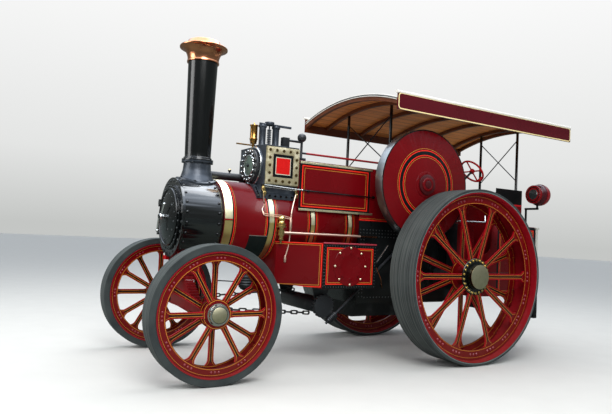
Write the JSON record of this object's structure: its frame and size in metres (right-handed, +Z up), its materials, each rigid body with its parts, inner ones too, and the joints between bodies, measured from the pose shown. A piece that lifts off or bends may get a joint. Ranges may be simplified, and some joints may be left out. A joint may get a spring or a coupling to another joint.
{
  "type": "steam traction engine",
  "caption": "Steam traction engine with spoked wheels on rubber, a lagged boiler, tall chimney, side flywheel and an arched canopy; it rolls and steers.",
  "frame": {"origin": "on the ground, at the middle of the engine's length and width", "axes": "+X forward to the chimney, +Y to the engine's left (the flywheel's side), +Z up"},
  "size_m": [5.528, 2.36, 3.35],
  "materials": {
    "maroon": "gloss coach paint",
    "gloss_black": "gloss black",
    "brass": "polished",
    "copper": "polished copper",
    "rubber": "matt, worn",
    "bright_steel": "polished",
    "bronze_grey": "semi-matt",
    "wood": "varnished",
    "vermilion": "gloss",
    "off_white": "gloss"
  },
  "bodies": {
    "chassis": {"smokebox": "gloss_black", "boiler_barrel": "maroon", "boiler_bands": "brass", "firebox": "gloss_black", "hornplates": "maroon", "motion_casing": "maroon", "cylinder_block": "gloss_black", "cylinder_cover": "bright_steel", "steam_chest_covers": "bronze_grey", "safety_valves": "gloss_black", "whistle": "brass", "throttle_gear": "gloss_black", "exhaust_pipe": "gloss_black", "chimney_base": "gloss_black", "chimney": "gloss_black", "chimney_cap": "copper", "feed_pipes": "copper", "belly_tank": "maroon", "tank_covers": "maroon", "ash_pan": "gloss_black", "rear_axle": "bright_steel", "gear_guard": "maroon", "tender_tank": "maroon", "tender_plates": "maroon", "footplate": "gloss_black", "drawbar": "gloss_black", "rear_fittings": "off_white", "lamps": "maroon", "canopy_roof": "wood", "canopy_boards": "maroon", "canopy_ribs": "wood", "canopy_posts": "gloss_black", "perch_bracket": "maroon", "roller_brackets": "gloss_black", "chain_left": "gloss_black", "chain_right": "gloss_black"},
    "front_carriage": {"front_axle": "maroon", "front_spring": "maroon"},
    "smokebox_lid": {"smokebox_door": "gloss_black"},
    "fire_door": {"firehole_door": "gloss_black"},
    "crank": {"flywheel": "maroon", "crankshaft": "bright_steel"},
    "steering_column": {"steering_wheel": "vermilion", "steering_shaft": "bright_steel"},
    "roller": {"chain_roller": "gloss_black"},
    "rear_left": {"rear_left_wheel": "maroon", "rear_left_tyre": "rubber", "rear_left_cap": "brass"},
    "rear_right": {"rear_right_wheel": "maroon", "rear_right_tyre": "rubber", "rear_right_cap": "brass"},
    "front_left": {"front_left_wheel": "maroon", "front_left_tyre": "rubber", "front_left_cap": "brass"},
    "front_right": {"front_right_wheel": "maroon", "front_right_tyre": "rubber", "front_right_cap": "brass"}
  },
  "joints": [
    {"name": "steer", "type": "hinge", "parent": "chassis", "child": "front_carriage", "pos_m": [2.138, 0, 0.626], "axis": [0, 0, 1], "range_deg": [-20, 20], "deforming": ["chain_left", "chain_right"]},
    {"name": "front_left_spin", "type": "hinge", "parent": "front_carriage", "child": "front_left", "pos_m": [2.138, 0.899, 0.626], "axis": [0, 1, 0], "continuous": true},
    {"name": "front_right_spin", "type": "hinge", "parent": "front_carriage", "child": "front_right", "pos_m": [2.138, -0.899, 0.626], "axis": [0, 1, 0], "continuous": true},
    {"name": "rear_left_spin", "type": "hinge", "parent": "chassis", "child": "rear_left", "pos_m": [-0.902, 0.985, 0.99], "axis": [0, 1, 0], "continuous": true},
    {"name": "rear_right_spin", "type": "hinge", "parent": "chassis", "child": "rear_right", "pos_m": [-0.902, -0.985, 0.99], "axis": [0, 1, 0], "continuous": true},
    {"name": "flywheel_spin", "type": "hinge", "parent": "chassis", "child": "crank", "pos_m": [-0.402, 0, 2.01], "axis": [0, 1, 0], "continuous": true},
    {"name": "smokebox_door_hinge", "type": "hinge", "parent": "chassis", "child": "smokebox_lid", "pos_m": [2.3363, -0.359, 1.486], "axis": [0, 0, -1], "range_deg": [0, 100]},
    {"name": "fire_door_hinge", "type": "hinge", "parent": "chassis", "child": "fire_door", "pos_m": [-0.6893, 0.186, 1.3], "axis": [0, 0, -1], "range_deg": [0, 105]},
    {"name": "steering_wheel_turn", "type": "hinge", "parent": "chassis", "child": "steering_column", "pos_m": [-1.462, 0.455, 2.29], "axis": [0.7517, 0, -0.6595], "range_deg": [-500, 500]},
    {"name": "chain_roller_turn", "type": "hinge", "parent": "chassis", "child": "roller", "pos_m": [0.718, 0, 0.61], "axis": [0, 1, 0], "range_deg": [-100, 100]}
  ],
  "couplings": [
    {"joint": "chain_roller_turn", "follows": "steer", "ratio": 5},
    {"joint": "steering_wheel_turn", "follows": "steer", "ratio": 25}
  ]
}
